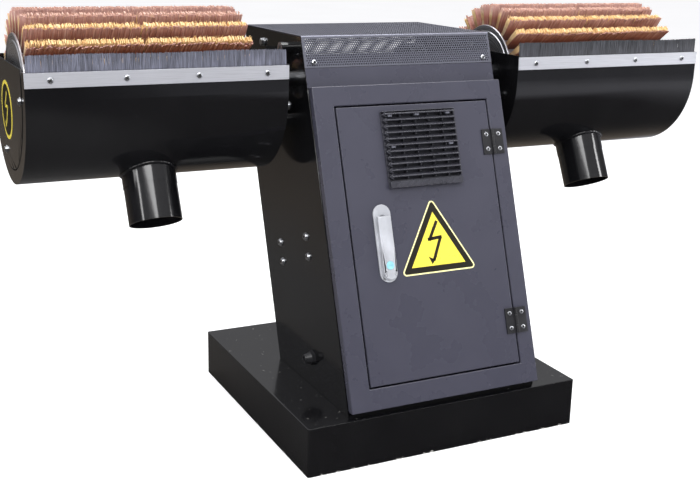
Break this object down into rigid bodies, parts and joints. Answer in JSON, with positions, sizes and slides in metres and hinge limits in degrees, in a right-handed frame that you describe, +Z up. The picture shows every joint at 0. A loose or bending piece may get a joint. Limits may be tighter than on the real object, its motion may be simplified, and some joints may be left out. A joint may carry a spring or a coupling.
{
  "type": "drum brush sander",
  "caption": "Pedestal brush sander: leaning cabinet on a flat plinth, one spindle driving an open-topped brush drum in a dust hood at each end.",
  "frame": {"origin": "centre of the plinth on the floor, midway between the two drums", "axes": "+X along the spindle towards the right-hand drum, +Y towards the back, +Z up"},
  "size_m": [1.479, 0.565, 0.8371],
  "materials": {
    "black_powder_coat": "gloss black powder coat on folded steel",
    "graphite_powder_coat": "satin dark grey powder coat",
    "perforated_sheet": "perforated zinc-plated sheet",
    "polished_aluminium": "turned and polished",
    "brushed_aluminium": "brushed bar",
    "bright_steel": "ground or zinc-plated steel",
    "cast_housing": "painted casting",
    "motor_paint": "blue-grey enamel",
    "black_rubber": "belt rubber",
    "black_plastic": "moulded plastic",
    "grey_plastic": "moulded plastic",
    "silver_diecast": "silver-painted die casting",
    "lock_insert": "pale teal plastic",
    "warning_film": "printed yellow film",
    "blue_grey_bristle": "nylon bristle curtain",
    "pink_abrasive": "slashed abrasive cloth",
    "tampico_fibre": "natural fibre bristle"
  },
  "bodies": {
    "machine_frame": {"base_plinth": "black_powder_coat", "ballast_plate": "bright_steel", "column_bolts": "bright_steel", "side_panel_left": "black_powder_coat", "side_panel_right": "black_powder_coat", "back_panel": "black_powder_coat", "front_strip": "graphite_powder_coat", "top_cover": "perforated_sheet", "cover_screws": "bright_steel", "column_floor": "black_powder_coat", "wall_bolts": "bright_steel", "bearing_beam": "black_powder_coat", "pillow_blocks": "cast_housing", "bearing_bolts": "bright_steel", "drive_belts": "black_rubber", "motor_plate": "black_powder_coat", "motor_body": "motor_paint", "motor_fan_cover": "motor_paint", "motor_terminal_box": "motor_paint", "electrical_box": "graphite_powder_coat", "hinge_frame_leaves": "black_plastic", "hinge_pins": "bright_steel", "hinge_frame_screws": "bright_steel", "mounting_plate": "bright_steel", "inverter": "grey_plastic", "switchgear": "grey_plastic", "cable_gland": "black_plastic", "hood_right": "black_powder_coat", "hood_left": "black_powder_coat", "seal_strip_right": "brushed_aluminium", "seal_strip_left": "brushed_aluminium", "bristle_seal_right": "blue_grey_bristle", "bristle_seal_left": "blue_grey_bristle", "strip_screws": "bright_steel", "hood_cover_right": "black_powder_coat", "hood_cover_left": "black_powder_coat", "hood_cover_bolts": "bright_steel", "hood_standoffs": "bright_steel", "hood_labels": "warning_film"},
    "brush_spindle": {"spindle": "bright_steel", "spindle_nuts": "bright_steel", "spindle_pulley": "cast_housing", "drum_hub_right": "brushed_aluminium", "drum_hub_left": "brushed_aluminium", "drum_discs": "polished_aluminium", "tampico_right": "tampico_fibre", "tampico_left": "tampico_fibre", "abrasive_right": "pink_abrasive", "abrasive_left": "pink_abrasive"},
    "motor_rotor": {"motor_shaft": "bright_steel", "motor_pulley": "cast_housing"},
    "cabinet_door": {"box_door": "graphite_powder_coat", "hinge_door_leaves": "black_plastic", "hinge_door_screws": "bright_steel", "door_vent": "black_plastic", "handle_plate": "silver_diecast", "door_label": "warning_film"},
    "door_lock": {"lock_rotor": "bright_steel"},
    "swing_lever": {"handle_lever": "silver_diecast"},
    "release_button": {"lock_button": "lock_insert"}
  },
  "joints": [
    {"name": "spindle_spin", "type": "hinge", "parent": "machine_frame", "child": "brush_spindle", "pos_m": [0, 0.09266, 0.68901], "axis": [1, 0, 0], "continuous": true},
    {"name": "motor_spin", "type": "hinge", "parent": "machine_frame", "child": "motor_rotor", "pos_m": [0, 0.03543, 0.47178], "axis": [1, 0, 0], "continuous": true},
    {"name": "door_hinge", "type": "hinge", "parent": "machine_frame", "child": "cabinet_door", "pos_m": [0.17475, -0.18432, 0.40501], "axis": [0, 0.3272, 0.9449], "range_deg": [0, 120]},
    {"name": "lock_turn", "type": "hinge", "parent": "cabinet_door", "child": "door_lock", "pos_m": [-0.0985, -0.16942, 0.45171], "axis": [0, -0.9449, 0.3272], "range_deg": [0, 90]},
    {"name": "lever_lift", "type": "hinge", "parent": "door_lock", "child": "swing_lever", "pos_m": [-0.0985, -0.17358, 0.45314], "axis": [-1, 0, 0], "range_deg": [0, 35]},
    {"name": "button_press", "type": "slide", "parent": "swing_lever", "child": "release_button", "axis": [0, 0.9449, -0.3272], "range_m": [0, 0.002], "stiffness_N_per_m": 300}
  ],
  "couplings": [
    {"joint": "motor_spin", "follows": "spindle_spin", "ratio": 1.5}
  ]
}
